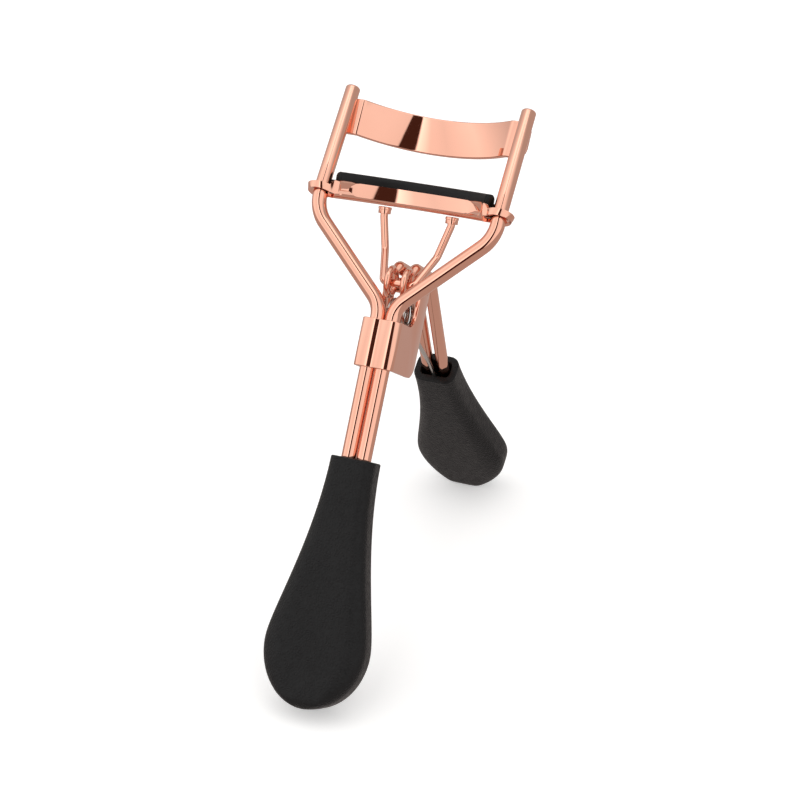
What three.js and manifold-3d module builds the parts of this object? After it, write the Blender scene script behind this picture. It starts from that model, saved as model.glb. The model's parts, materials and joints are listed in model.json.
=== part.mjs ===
// Eyelash curler, standing open on its two grips.
//
// A bent-wire frame carries the fixed upper jaw. Behind it a two-rod lever turns on a pin in the
// ears of a sheet ferrule. A wire yoke joins the lever's nose to the lower jaw, which rides up the
// frame rods on guide loops and brings its silicone pad against the upper jaw.
//
// Units are millimetres. Every piece is drawn in the frame handle's own axes: x to the side, y
// towards the lever, z along the handle with 0 at the grip's end. The whole handle then leans back
// by `lean`, so that both grips stand on a table, and the model is centred over its footprint.

import * as THREE from 'three';
import * as BufferGeometryUtils from 'three/addons/utils/BufferGeometryUtils.js';
import Module from 'manifold-3d';

const wasm = await Module();
wasm.setup();

const rad = THREE.MathUtils.degToRad;

// ---------------------------------------------------------------- driving dimensions

// pose
const lean = rad( 31.4 );               // frame handle off the vertical
const headTilt = rad( 15.3 );           // rods above the shoulders, tilted back from the handle
const jawTilt = rad( 8 );               // upper jaw's edges off square to the head rods
const jawSwing = rad( 18 );             // how far the lower jaw turns over its travel

// frame rods
const rodRadius = 1.3;
const rodPairGap = 0.12;                // between the two rods below the shoulders
const headHalfWidth = 16.2;             // rod centres at the head
const shoulderAngle = rad( 46 );        // slope of the V off the handle
const veeBend = 5;                      // bend radius where the V opens
const shoulderBend = 6.5;               // bend radius at the shoulders
const headBend = 9;                     // bend radius where the head tilts back
const guideHeight = 87.7;               // lower jaw's guide loops at rest, along the handle
const headLength = 20.2;                // rod above that point
const rodDepthInGrip = 20;
const veeAboveFerrule = 0.4;

// upper jaw
const jawSheet = 0.85;
const jawHeight = 6.6;
const jawTopBelowTip = 1.9;             // rod tips stand proud of the jaw by this
const tabFold = 13.7;                   // half-distance between the folds of the end tabs
const tabLength = 2.7;
const jawSagitta = 4.7;                 // how far the middle bows back from the folds
const notchDepth = 0.6;                 // flat milled into each rod behind the tab
const notchRunOut = 0.3;                // beyond the tab at each end of the flat
const weldRadius = 0.45;
const weldInset = 1;                    // weld stops this far short of the jaw's edges

// lower jaw
const channelSheet = 0.7;
const channelSpan = 14.2;               // half-length of the channel
const channelBend = 0.6;                // of the sheet along the channel's lower edges
const channelWallTop = 1.75;            // above the guide loops' middle
const channelWallDrop = 1.4;            // below it
const padThickness = 2.1;
const padTop = 3.3;                     // above the guide loops' middle
const padSpan = 14.5;
const padGrip = 0.2;                    // clearance between pad and channel
const bandThickness = 0.5;
const bandHeight = 1.3;
const bandDrop = 0.2;                   // band's middle below the guide loops' middle
const bandOverlap = 1.2;                // band's start inside the wall's end
const loopFrom = rad( 215 );            // where the band starts and ends round the rod
const loopTo = rad( 470 );
const guideClearance = 0.5;             // round the rod, which the jaw leans against as it turns
const jawGapClosed = 0.15;              // pad to upper jaw when closed

// yoke
const yokeRadius = 0.68;
const yokeTopHalfWidth = 6.2;
const yokeKinkHalfWidth = 4.8;
const yokeFootHalfWidth = 2.8;
const yokeSetBack = 0.9;                // collars behind the channel's middle
const yokeKink = { y: 6.8, z: 79.9 };
const yokeTopBend = 1;                  // bend radii under the collars, at the kink and at the foot
const yokeKinkBend = 2;
const yokeFootBend = 1;
const yokeStraight = 0.4;               // straight wire under the collar
const yokeEndDrop = 0.1;                // wire's end under the collar's top
const collarRadius = 1.2;
const collarHeight = 1.2;
const collarClearance = 0.3;            // lets the yoke tilt in its collars

// ferrule and pivot
const ferruleSheet = 0.75;
const ferruleClearance = 0.15;          // round the frame rods
const ferruleBottom = 58.5;
const ferruleTop = 66.9;
const earFront = 1;                     // where the ears leave the band
const earReach = 11;                    // back edge of the ears
const earCorner = 2.6;                  // radius of the ears' lower corners
const hornTop = 76.2;
const hornFront = 6.3;                  // front edge of the horns that hold the pin
const hornCorner = 2;                   // radius of the horns' back corners
const hornCut = { y: 1, z: 2.2 };       // slanted front corner of the horns
const pivot = { y: 9.7, z: 74.4 };
const pinRadius = 0.75;
const pinClearance = 0.15;
const pinProud = 0.12;
const sleeveWall = 0.45;
const sleeveLength = 4.6;

// lever
const leverRodRadius = 1.15;
const leverRodHalfGap = 1.5;            // rod centres off the middle
const leverLength = 71.4;               // from the pin to the rear grip's end
const leverElbow = 15.6;                // where the rods, level over the pin, turn down
const leverBend = 4.5;
const leverFootBend = 12;
const leverRunIn = 1;                   // rods are straight from this far above the grip
const noseLoopRadius = 2.3;
const noseLoopWire = 0.45;
const noseLoop = { y: 3.7, z: 74.1 };
const crossbar = { y: 3.3, z: 73.9 };   // the yoke's foot, which the nose loops pull

// torsion spring
const springWire = 0.4;
const springCoilRadius = 2.1;
const springTurns = 4;
const springCoil = { y: 8.2, z: 69.5 };
const springTurnGap = 0.05;
const springLegDrop = 1.1;              // long leg's middle under the lever rods' middle
const springLegDepth = 12;              // how far the long leg reaches into the rear grip

// grips, both from one mould
const gripLength = 42.8;
const gripNeckHalfWidth = 4.1;
const gripHalfWidth = 9.1;
const gripBulbHeight = 10.5;            // widest point above the grip's end
const gripNeckThickness = 6;
const gripThickness = 8.3;              // at the grip's end
const gripNeckRun = 14.8;               // how far the neck's and the bulb's sides run straight on
const gripBulbRun = 4.5;
const gripEdge = 1.9;                   // rounding of the long edges
const socketClearance = 0.3;
const springRoom = 0.3;                 // wider socket beside the spring's leg

const fitGap = 0.25;                    // between pieces that rest on one another

// ---------------------------------------------------------------- materials

const steelColour = 0xd9987f;
const springColour = 0xb4b2ad;
const rubberColour = 0x1c1c1e;
const gripColour = 0x1a1a1b;

function plated() {

	return new THREE.MeshStandardMaterial( { color: steelColour, roughness: 0.12, metalness: 1 } );

}

function springSteel() {

	return new THREE.MeshStandardMaterial( { color: springColour, roughness: 0.3, metalness: 1 } );

}

function silicone() {

	return new THREE.MeshStandardMaterial( { color: rubberColour, roughness: 0.55, metalness: 0 } );

}

function gripPlastic() {

	return new THREE.MeshStandardMaterial( { color: gripColour, roughness: 0.6, metalness: 0 } );

}

// ---------------------------------------------------------------- helpers

const vec = ( x, y, z ) => new THREE.Vector3( x, y, z );

// A path whose sections stand exactly at the given points, so that straights need no extra rings.
class KnotPath extends THREE.Curve {

	constructor( knots ) {

		super();
		this.knots = knots;

	}

	getPointAt( u, target = new THREE.Vector3() ) {

		return target.copy( this.knots[ Math.round( u * ( this.knots.length - 1 ) ) ] );

	}

	getTangentAt( u, target = new THREE.Vector3() ) {

		const last = this.knots.length - 1;
		const i = Math.round( u * last );
		target.set( 0, 0, 0 );
		if ( i > 0 ) target.add( this.knots[ i ].clone().sub( this.knots[ i - 1 ] ).normalize() );
		if ( i < last ) target.add( this.knots[ i + 1 ].clone().sub( this.knots[ i ] ).normalize() );
		return target.normalize();

	}

}

// Knots of a wire bent through `corners`, with a round bend of `radii[ i ]` at each inner corner.
function bentWire( corners, radii, bendSteps = 6 ) {

	const knots = [ corners[ 0 ] ];
	for ( let i = 1; i < corners.length - 1; i ++ ) {

		const corner = corners[ i ];
		const back = corners[ i - 1 ].clone().sub( corner ).normalize();
		const on = corners[ i + 1 ].clone().sub( corner ).normalize();
		const half = back.angleTo( on ) / 2;
		const radius = radii[ i - 1 ];
		const centre = back.clone().add( on ).normalize().multiplyScalar( radius / Math.sin( half ) ).add( corner );
		const from = back.clone().multiplyScalar( radius / Math.tan( half ) ).add( corner ).sub( centre );
		const to = on.clone().multiplyScalar( radius / Math.tan( half ) ).add( corner ).sub( centre );
		const sweep = Math.PI - 2 * half;
		for ( let k = 0; k <= bendSteps; k ++ ) {

			const a = sweep * k / bendSteps;
			const p = from.clone().multiplyScalar( Math.sin( sweep - a ) / Math.sin( sweep ) );
			p.add( to.clone().multiplyScalar( Math.sin( a ) / Math.sin( sweep ) ) );
			knots.push( p.add( centre ) );

		}

	}

	knots.push( corners[ corners.length - 1 ] );
	return knots;

}

function sweep( section, knots, curveSegments = 6 ) {

	return new THREE.ExtrudeGeometry( section, {
		steps: knots.length - 1, extrudePath: new KnotPath( knots ), curveSegments, bevelEnabled: false
	} );

}

function round( radius ) {

	return new THREE.Shape().absarc( 0, 0, radius, 0, 2 * Math.PI, false );

}

function outline( points ) {

	return new THREE.Shape( points.map( ( p ) => new THREE.Vector2( p[ 0 ], p[ 1 ] ) ) );

}

function rectangle( x0, x1, y0, y1 ) {

	return outline( [ [ x0, y0 ], [ x1, y0 ], [ x1, y1 ], [ x0, y1 ] ] );

}

// A slot-shaped outline: `half` is the distance of each end's centre from the middle.
function stadium( half, radius ) {

	const shape = new THREE.Shape();
	shape.absarc( half, 0, radius, - Math.PI / 2, Math.PI / 2, false );
	shape.absarc( - half, 0, radius, Math.PI / 2, 1.5 * Math.PI, false );
	return shape;

}

function solid( geometry ) {

	const bare = geometry.clone();
	bare.deleteAttribute( 'normal' );
	bare.deleteAttribute( 'uv' );
	const merged = BufferGeometryUtils.mergeVertices( bare, 1e-4 );
	return new wasm.Manifold( new wasm.Mesh( {
		numProp: 3,
		vertProperties: new Float32Array( merged.attributes.position.array ),
		triVerts: new Uint32Array( merged.index.array )
	} ) );

}

function geometryOf( manifold ) {

	const mesh = manifold.getMesh();
	const geometry = new THREE.BufferGeometry();
	geometry.setAttribute( 'position', new THREE.BufferAttribute( new Float32Array( mesh.vertProperties ), 3 ) );
	geometry.setIndex( new THREE.BufferAttribute( new Uint32Array( mesh.triVerts ), 1 ) );
	return geometry;

}

function piece( name, geometry, material, parent ) {

	const mesh = new THREE.Mesh( geometry, material );
	mesh.name = name;
	parent.add( mesh );
	return mesh;

}

const sides = [ [ 'left', - 1 ], [ 'right', 1 ] ];

// ---------------------------------------------------------------- groups

const model = new THREE.Group();
const handle = new THREE.Group();        // the frame handle's axes
handle.rotation.x = - lean;
model.add( handle );

const head = new THREE.Group();          // the tilted rods' axes, from the guide loops' rest height
head.position.z = guideHeight;
head.rotation.x = - headTilt;
handle.add( head );

const upperJaw = new THREE.Group();      // the upper jaw's axes, from the middle of the rod notches
const jawMid = headLength - jawTopBelowTip - jawHeight / 2;
upperJaw.position.z = jawMid;
upperJaw.rotation.x = jawTilt;
head.add( upperJaw );

// Along the rods, the lower jaw climbs from 0 to `jawRise`, where the pad meets the upper jaw.
const jawRise = jawMid + ( - jawHeight / 2 - jawGapClosed - padTop ) / Math.cos( jawTilt );
const swingCentre = { y: jawRise / 2 / Math.tan( jawSwing / 2 ), z: jawRise / 2 };

const lowerJaw = new THREE.Group();      // the lower jaw's axes, turned down from its closed place
const lowerJawSwing = new THREE.Group();
lowerJawSwing.position.set( 0, swingCentre.y, swingCentre.z );
lowerJawSwing.rotation.x = jawSwing;
head.add( lowerJawSwing );
lowerJaw.position.set( 0, - swingCentre.y, jawRise - swingCentre.z );
lowerJaw.rotation.x = jawTilt;
lowerJawSwing.add( lowerJaw );

// ---------------------------------------------------------------- frame rods

const rodPairX = rodRadius + rodPairGap / 2;
const veeStart = ferruleTop + veeAboveFerrule;

// The corner at the foot of the V and the one at the shoulder, from the slope between them.
const veeCorner = veeStart + veeBend * Math.tan( shoulderAngle / 2 );
const shoulderCorner = veeCorner + ( headHalfWidth - rodPairX ) / Math.tan( shoulderAngle );

const tabInnerFace = rodRadius - notchDepth + fitGap;
const tabMiddle = tabInnerFace + jawSheet / 2;

function leftFrameRod() {

	const corners = [
		vec( - rodPairX, 0, gripLength - rodDepthInGrip ),
		vec( - rodPairX, 0, veeCorner ),
		vec( - headHalfWidth, 0, shoulderCorner ),
		vec( - headHalfWidth, 0, guideHeight ),
		vec( - headHalfWidth, headLength * Math.sin( headTilt ), guideHeight + headLength * Math.cos( headTilt ) ),
	];
	const rod = solid( sweep( round( rodRadius ), bentWire( corners, [ veeBend, shoulderBend, headBend ] ) ) );
	return rod.subtract( notchCutter() );

}

// The flat on the back of the left rod's tip, which follows the tilted tab.
function notchCutter() {

	const height = jawHeight + 2 * ( fitGap + notchRunOut );
	const block = new THREE.BoxGeometry( 4 * rodRadius, 2 * rodRadius, height );
	block.translate( - headHalfWidth, tabInnerFace - fitGap + rodRadius, 0 );
	upperJaw.updateWorldMatrix( true, false );
	handle.updateWorldMatrix( true, false );
	block.applyMatrix4( handle.matrixWorld.clone().invert().multiply( upperJaw.matrixWorld ) );
	return solid( block );

}

const leftRod = leftFrameRod();
piece( 'left_frame_rod', geometryOf( leftRod ), plated(), handle );
piece( 'right_frame_rod', geometryOf( leftRod.mirror( [ 1, 0, 0 ] ) ), plated(), handle );

// ---------------------------------------------------------------- upper jaw

// Both jaws follow one bow: a circle through the folds of the tabs, `jawSagitta` deep.
const bowRadius = ( tabFold ** 2 + jawSagitta ** 2 ) / ( 2 * jawSagitta );
const bowCentreY = tabMiddle + jawSagitta - bowRadius;

function bowKnots( radius, halfSpan, steps ) {

	const reach = Math.asin( halfSpan / radius );
	return Array.from( { length: steps + 1 }, ( _, i ) => {

		const a = reach * ( 2 * i / steps - 1 );
		return vec( radius * Math.sin( a ), bowCentreY + radius * Math.cos( a ), 0 );

	} );

}

function upperJawStrip() {

	const arc = bowKnots( bowRadius, tabFold, 22 );
	const tabEnd = tabFold + tabLength;
	const knots = [ vec( - tabEnd, tabMiddle, 0 ), ...arc, vec( tabEnd, tabMiddle, 0 ) ];
	return sweep( rectangle( - jawHeight / 2, jawHeight / 2, - jawSheet / 2, jawSheet / 2 ), knots );

}

piece( 'upper_jaw', upperJawStrip(), plated(), upperJaw );

// Bead of weld that fixes each tab to the outer side of its rod.
function tabWeld( side ) {

	const z = jawHeight / 2 - weldInset;
	const y = tabMiddle + jawSheet / 2 + weldRadius + fitGap;
	const knots = [ vec( side * headHalfWidth, y, - z ), vec( side * headHalfWidth, y, z ) ];
	return sweep( round( weldRadius ), knots, 4 );

}

for ( const [ label, side ] of sides ) {

	piece( label + '_tab_weld', tabWeld( side ), plated(), upperJaw );

}

// ---------------------------------------------------------------- lower jaw

const channelInner = padThickness / 2 + padGrip;
const channelOuter = channelInner + channelSheet;
const guideHole = rodRadius + guideClearance;
const guideOuter = guideHole + bandThickness;

// A section swept along the bow and cut off square to x at both ends.
function trimmedBow( section, halfLength, steps ) {

	const trim = new THREE.BoxGeometry( 2 * halfLength, 2 * bowRadius, 2 * bowRadius );
	return solid( sweep( section, bowKnots( bowRadius, halfLength + channelOuter, steps ) ) ).intersect( solid( trim ) );

}

// A section drawn as [ height, depth ] becomes [ z, y ] once it is swept along the bow.
function channelSection() {

	const floor = - channelWallDrop + channelSheet;
	const side = channelBend - channelWallDrop;
	const under = channelOuter - channelBend;
	const points = [
		[ channelWallTop, - channelOuter ], [ side, - channelOuter ], [ - channelWallDrop, - under ],
		[ - channelWallDrop, under ], [ side, channelOuter ], [ channelWallTop, channelOuter ],
		[ channelWallTop, channelInner ], [ floor, channelInner ],
		[ floor, - channelInner ], [ channelWallTop, - channelInner ],
	];
	return outline( points.map( ( p ) => [ - p[ 0 ], p[ 1 ] ] ) );

}

// The front wall's end runs forward past the rod and curls round it as a guide loop, which stands
// square to the rod while the jaw is down.
function guideBand( side ) {

	const r = guideHole + bandThickness / 2;
	const loopTilt = jawTilt + jawSwing;
	const wallX = channelSpan - bandOverlap;
	const wall = bowRadius - channelOuter + channelSheet / 2;
	const wallY = bowCentreY + Math.sqrt( wall ** 2 - wallX ** 2 );
	const knots = [ vec( side * wallX, wallY, - bandDrop ) ];
	const steps = 16;
	for ( let i = 0; i <= steps; i ++ ) {

		const a = loopFrom + ( loopTo - loopFrom ) * i / steps;
		const y = r * Math.sin( a );
		const x = side * ( headHalfWidth + r * Math.cos( a ) );
		knots.push( vec( x, y * Math.cos( loopTilt ), - y * Math.sin( loopTilt ) - bandDrop ) );

	}

	const h = bandHeight / 2;
	const t = bandThickness / 2;
	return sweep( rectangle( - h, h, - t, t ), knots );

}

function jawChannel() {

	let channel = trimmedBow( channelSection(), channelSpan, 20 );
	for ( const [ , side ] of sides ) channel = channel.add( solid( guideBand( side ) ) );
	return geometryOf( channel );

}

piece( 'lower_jaw_channel', jawChannel(), plated(), lowerJaw );

function padSection() {

	const t = padThickness / 2;
	const foot = - channelWallDrop + channelSheet + fitGap;
	const chamfer = 0.5;
	const points = [
		[ foot, - t ], [ foot, t ], [ padTop - chamfer, t ], [ padTop, t - chamfer ],
		[ padTop, - t + chamfer ], [ padTop - chamfer, - t ],
	];
	return outline( points.map( ( p ) => [ - p[ 0 ], p[ 1 ] ] ) );

}

piece( 'silicone_pad', geometryOf( trimmedBow( padSection(), padSpan, 18 ) ), silicone(), lowerJaw );

// The yoke's collars hang under the channel.
const collarBow = bowRadius + yokeSetBack;
const collarY = bowCentreY + Math.sqrt( collarBow ** 2 - yokeTopHalfWidth ** 2 );
const collarTop = - channelWallDrop - fitGap;

function collar( side ) {

	const inner = yokeRadius + collarClearance;
	const profile = [
		[ inner, 0 ], [ collarRadius, 0 ], [ collarRadius, collarHeight ], [ inner, collarHeight ], [ inner, 0 ],
	];
	const ring = new THREE.LatheGeometry( profile.map( ( p ) => new THREE.Vector2( p[ 0 ], p[ 1 ] ) ), 14 );
	ring.rotateX( Math.PI / 2 );
	ring.translate( side * yokeTopHalfWidth, collarY, collarTop - collarHeight );
	return ring;

}

for ( const [ label, side ] of sides ) {

	piece( label + '_yoke_collar', collar( side ), plated(), lowerJaw );

}

// ---------------------------------------------------------------- yoke

// The yoke's top ends stand in the collars, square to the channel, and its foot is the crossbar.
function yoke() {

	lowerJaw.updateWorldMatrix( true, false );
	handle.updateWorldMatrix( true, false );
	const toHandle = handle.matrixWorld.clone().invert().multiply( lowerJaw.matrixWorld );
	const top = vec( yokeTopHalfWidth, collarY, collarTop - yokeEndDrop ).applyMatrix4( toHandle );
	const below = vec( yokeTopHalfWidth, collarY, collarTop - collarHeight - yokeStraight ).applyMatrix4( toHandle );
	const half = [
		top, below,
		vec( yokeKinkHalfWidth, yokeKink.y, yokeKink.z ),
		vec( yokeFootHalfWidth, crossbar.y, crossbar.z ),
	];
	const mirrored = half.map( ( p ) => vec( - p.x, p.y, p.z ) );
	const bends = [ yokeTopBend, yokeKinkBend, yokeFootBend, yokeFootBend, yokeKinkBend, yokeTopBend ];
	return sweep( round( yokeRadius ), bentWire( [ ...mirrored, ...half.reverse() ], bends, 5 ), 5 );

}

piece( 'link_yoke', yoke(), plated(), handle );

// ---------------------------------------------------------------- ferrule and pivot pin

const ferruleInner = 2 * rodRadius + rodPairGap / 2 + ferruleClearance;
const ferruleMiddle = ferruleInner + ferruleSheet / 2;

// The band is one strip of sheet: round the front of both rods and straight back as two ears.
function ferruleBand() {

	const r = rodRadius + ferruleClearance + ferruleSheet / 2;
	const flat = ferruleMiddle - r;
	const knots = [ vec( - ferruleMiddle, earReach - earCorner, 0 ) ];
	const steps = 8;
	for ( let i = 0; i <= steps; i ++ ) {

		const a = Math.PI + Math.PI / 2 * i / steps;
		knots.push( vec( - flat + r * Math.cos( a ), r * Math.sin( a ), 0 ) );

	}

	for ( let i = 0; i <= steps; i ++ ) {

		const a = 1.5 * Math.PI + Math.PI / 2 * i / steps;
		knots.push( vec( flat + r * Math.cos( a ), r * Math.sin( a ), 0 ) );

	}

	knots.push( vec( ferruleMiddle, earReach - earCorner, 0 ) );
	const height = ferruleTop - ferruleBottom;
	const band = sweep( rectangle( - height / 2, height / 2, - ferruleSheet / 2, ferruleSheet / 2 ), knots );
	band.translate( 0, 0, ferruleBottom + height / 2 );
	return solid( band );

}

const earLift = 0.01;                   // keeps the ears' lower edge off the band's own

// An ear in the y-z plane: a plate with a round lower corner, a scooped top and a horn for the pin.
function ear( side ) {

	const shape = new THREE.Shape();
	const bottom = ferruleBottom + earLift;
	const scoop = ( hornFront - earFront ) / 2;
	shape.moveTo( earFront, bottom );
	shape.lineTo( earReach - earCorner, bottom );
	shape.absarc( earReach - earCorner, bottom + earCorner, earCorner, - Math.PI / 2, 0, false );
	shape.lineTo( earReach, hornTop - hornCorner );
	shape.absarc( earReach - hornCorner, hornTop - hornCorner, hornCorner, 0, Math.PI / 2, false );
	shape.lineTo( hornFront + hornCut.y, hornTop );
	shape.lineTo( hornFront, hornTop - hornCut.z );
	shape.lineTo( hornFront, ferruleTop + scoop );
	shape.absarc( earFront + scoop, ferruleTop + scoop, scoop, 0, - Math.PI / 2, true );
	shape.lineTo( earFront, ferruleTop );
	const hole = new THREE.Path();
	hole.absarc( pivot.y, pivot.z, pinRadius + pinClearance, 0, 2 * Math.PI, true );
	shape.holes.push( hole );
	const plate = new THREE.ExtrudeGeometry( shape, { depth: ferruleSheet, bevelEnabled: false, curveSegments: 6 } );
	plate.applyMatrix4( new THREE.Matrix4().makeBasis( vec( 0, 1, 0 ), vec( 0, 0, 1 ), vec( 1, 0, 0 ) ) );
	plate.translate( side * ferruleMiddle - ferruleSheet / 2, 0, 0 );
	return solid( plate );

}

let ferrule = ferruleBand();
for ( const [ , side ] of sides ) ferrule = ferrule.add( ear( side ) );
piece( 'ferrule', geometryOf( ferrule ), plated(), handle );

// A solid disc or ring about an x-axis line through `at`.
function turned( profile, at, segments ) {

	const geometry = new THREE.LatheGeometry( profile.map( ( p ) => new THREE.Vector2( p[ 0 ], p[ 1 ] ) ), segments );
	geometry.rotateZ( - Math.PI / 2 );
	geometry.translate( 0, at.y, at.z );
	return geometry;

}

function pivotPin() {

	const half = ferruleMiddle + ferruleSheet / 2 + pinProud;
	return turned( [ [ 0, - half ], [ pinRadius, - half ], [ pinRadius, half ], [ 0, half ] ], pivot, 16 );

}

piece( 'pivot_pin', pivotPin(), plated(), handle );

// ---------------------------------------------------------------- lever

// The lever's handle leaves the pin at the angle that puts both grips on the table. A grip rests on
// the rounded inner edge of its end, whose centre is `restY` off the handle's middle plane.
const restY = gripThickness / 2 - gripEdge;
const frameFoot = - restY * Math.sin( lean ) + gripEdge * Math.cos( lean );
const pivotHeight = - pivot.y * Math.sin( lean ) + pivot.z * Math.cos( lean );
const footReach = Math.hypot( leverLength - gripEdge, restY );
const leverLean = Math.acos( ( pivotHeight - frameFoot ) / footReach ) + Math.atan2( restY, leverLength - gripEdge );

const leverArm = new THREE.Group();      // the lever handle's axes: z up its middle, from the grip's end
const armAngle = lean + leverLean;
leverArm.rotation.x = armAngle;
const armDown = vec( 0, Math.sin( armAngle ), - Math.cos( armAngle ) );
leverArm.position.copy( armDown ).multiplyScalar( leverLength ).add( vec( 0, pivot.y, pivot.z ) );
handle.add( leverArm );

const sleeveRadius = pinRadius + pinClearance + sleeveWall;

function leverRod( side ) {

	const x = side * leverRodHalfGap;
	const along = ( s ) => armDown.clone().multiplyScalar( leverLength - s ).add( vec( x, pivot.y, pivot.z ) );
	const over = pivot.z + sleeveRadius + leverRodRadius + fitGap;
	const corners = [
		vec( x, noseLoop.y + noseLoopRadius + noseLoopWire + fitGap, over ),
		vec( x, leverElbow, over ),
		along( gripLength + leverRunIn ),
		along( gripLength - rodDepthInGrip ),
	];
	return sweep( round( leverRodRadius ), bentWire( corners, [ leverBend, leverFootBend ], 6 ) );

}

function noseLoopRing( side ) {

	const torus = new THREE.TorusGeometry( noseLoopRadius, noseLoopWire, 8, 20 );
	torus.rotateY( Math.PI / 2 );
	torus.translate( side * leverRodHalfGap, noseLoop.y, noseLoop.z );
	return torus;

}

for ( const [ label, side ] of sides ) {

	piece( label + '_lever_rod', leverRod( side ), plated(), handle );
	piece( label + '_nose_loop', noseLoopRing( side ), plated(), handle );

}

function pivotSleeve() {

	const half = sleeveLength / 2;
	const inner = pinRadius + pinClearance;
	const profile = [ [ inner, - half ], [ sleeveRadius, - half ], [ sleeveRadius, half ], [ inner, half ], [ inner, - half ] ];
	return turned( profile, pivot, 16 );

}

piece( 'pivot_sleeve', pivotSleeve(), plated(), handle );

// ---------------------------------------------------------------- torsion spring

// The coil lies between the ears. Its long leg runs into the rear grip, its short one ends behind
// the frame rods.
function torsionSpring() {

	const width = ( 2 * springWire + springTurnGap ) * springTurns;
	const perTurn = 14;
	const count = Math.round( ( springTurns - 0.25 ) * perTurn );
	const knots = [ vec( - width / 2, rodRadius + springWire + fitGap, springCoil.z - springCoilRadius ) ];
	for ( let i = 0; i <= count; i ++ ) {

		const a = Math.PI - 2 * Math.PI * i / perTurn;
		const x = - width / 2 + width * i / count;
		knots.push( vec( x, springCoil.y + springCoilRadius * Math.cos( a ), springCoil.z + springCoilRadius * Math.sin( a ) ) );

	}

	const offArm = vec( 0, - Math.cos( armAngle ), - Math.sin( armAngle ) ).multiplyScalar( springLegDrop );
	const mouth = leverLength - gripLength;
	for ( const reach of [ mouth - leverRunIn, mouth + springLegDepth ] ) {

		knots.push( armDown.clone().multiplyScalar( reach ).add( offArm ).add( vec( 0, pivot.y, pivot.z ) ) );

	}

	return sweep( round( springWire ), knots, 4 );

}

piece( 'torsion_spring', torsionSpring(), springSteel(), handle );

// ---------------------------------------------------------------- grips

function gripOutline() {

	const body = gripEdge;
	const neck = gripNeckHalfWidth - body;
	const bulb = gripHalfWidth - body;
	const shape = new THREE.Shape();
	const neckPull = gripLength - gripNeckRun;
	const bulbPull = gripBulbHeight + gripBulbRun;
	const top = gripLength + body;
	shape.moveTo( - neck, top );
	shape.lineTo( - neck, gripLength );
	shape.bezierCurveTo( - neck, neckPull, - bulb, bulbPull, - bulb, gripBulbHeight );
	shape.absellipse( 0, gripBulbHeight, bulb, gripBulbHeight - body, Math.PI, 2 * Math.PI, false );
	shape.bezierCurveTo( bulb, bulbPull, neck, neckPull, neck, gripLength );
	shape.lineTo( neck, top );
	return shape;

}

// The outline, rounded on its long edges, tapering flat towards the neck and cut square at the top.
function gripBody() {

	const depth = gripThickness - 2 * gripEdge;
	const body = new THREE.ExtrudeGeometry( gripOutline(), {
		depth, steps: 1, curveSegments: 9,
		bevelEnabled: true, bevelThickness: gripEdge, bevelSize: gripEdge, bevelSegments: 3
	} );
	body.translate( 0, 0, - depth / 2 );
	body.rotateX( Math.PI / 2 );
	const place = body.attributes.position;
	for ( let i = 0; i < place.count; i ++ ) {

		const thickness = THREE.MathUtils.lerp( gripThickness, gripNeckThickness, place.getZ( i ) / gripLength );
		place.setY( i, place.getY( i ) * thickness / gripThickness );

	}

	const trim = new THREE.BoxGeometry( 4 * gripHalfWidth, 4 * gripThickness, 2 * gripLength );
	return solid( body ).intersect( solid( trim ) );

}

function grip( halfGap, radius ) {

	const depth = rodDepthInGrip + socketClearance;
	const socket = new THREE.ExtrudeGeometry( stadium( halfGap, radius + socketClearance ), {
		depth: depth + 1, bevelEnabled: false, curveSegments: 8
	} );
	socket.translate( 0, 0, gripLength - depth );
	return geometryOf( gripBody().subtract( solid( socket ) ) );

}

piece( 'front_grip', grip( rodPairX, rodRadius ), gripPlastic(), handle );
piece( 'rear_grip', grip( leverRodHalfGap, leverRodRadius + springRoom ), gripPlastic(), leverArm );

// ---------------------------------------------------------------- footprint

model.updateWorldMatrix( true, true );
const box = new THREE.Box3().setFromObject( model, true );
model.position.set( - ( box.min.x + box.max.x ) / 2, - ( box.min.y + box.max.y ) / 2, - box.min.z );
model.updateWorldMatrix( true, true );

export default model;
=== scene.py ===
"""Eyelash curler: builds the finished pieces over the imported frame, with their materials and a stage."""

import json
import math

import bmesh
import bpy
from mathutils import Matrix, Vector


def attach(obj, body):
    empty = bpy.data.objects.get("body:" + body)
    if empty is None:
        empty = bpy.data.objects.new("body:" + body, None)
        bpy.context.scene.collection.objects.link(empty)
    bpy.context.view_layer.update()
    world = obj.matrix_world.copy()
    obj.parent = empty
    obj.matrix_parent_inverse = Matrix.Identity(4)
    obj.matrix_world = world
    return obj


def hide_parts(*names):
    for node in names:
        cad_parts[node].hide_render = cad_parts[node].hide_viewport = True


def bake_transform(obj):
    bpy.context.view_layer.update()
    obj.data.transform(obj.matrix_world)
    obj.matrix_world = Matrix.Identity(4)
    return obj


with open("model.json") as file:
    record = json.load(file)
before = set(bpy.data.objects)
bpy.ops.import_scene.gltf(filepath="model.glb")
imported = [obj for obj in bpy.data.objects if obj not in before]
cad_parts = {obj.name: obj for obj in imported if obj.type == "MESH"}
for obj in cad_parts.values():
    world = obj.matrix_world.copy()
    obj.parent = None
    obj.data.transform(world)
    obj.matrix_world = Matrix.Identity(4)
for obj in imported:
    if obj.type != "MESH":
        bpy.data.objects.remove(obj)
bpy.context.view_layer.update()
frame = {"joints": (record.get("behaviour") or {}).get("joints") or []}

bl_info = {
    "name": "Eyelash Curler",
    "version": (1, 0, 0),
    "blender": (4, 5, 0),
    "location": "3D View > Sidebar > Curler",
    "description": "Builds a wire-framed eyelash curler with a two-rod lever and soft grips",
    "category": "Object",
}

# Pieces are drawn in millimetres in the handle's own axes and set down at true size when finished.
MM = 0.001
SAME_PLACE = 1e-4


def rad(degrees):
    return math.radians(degrees)


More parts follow.
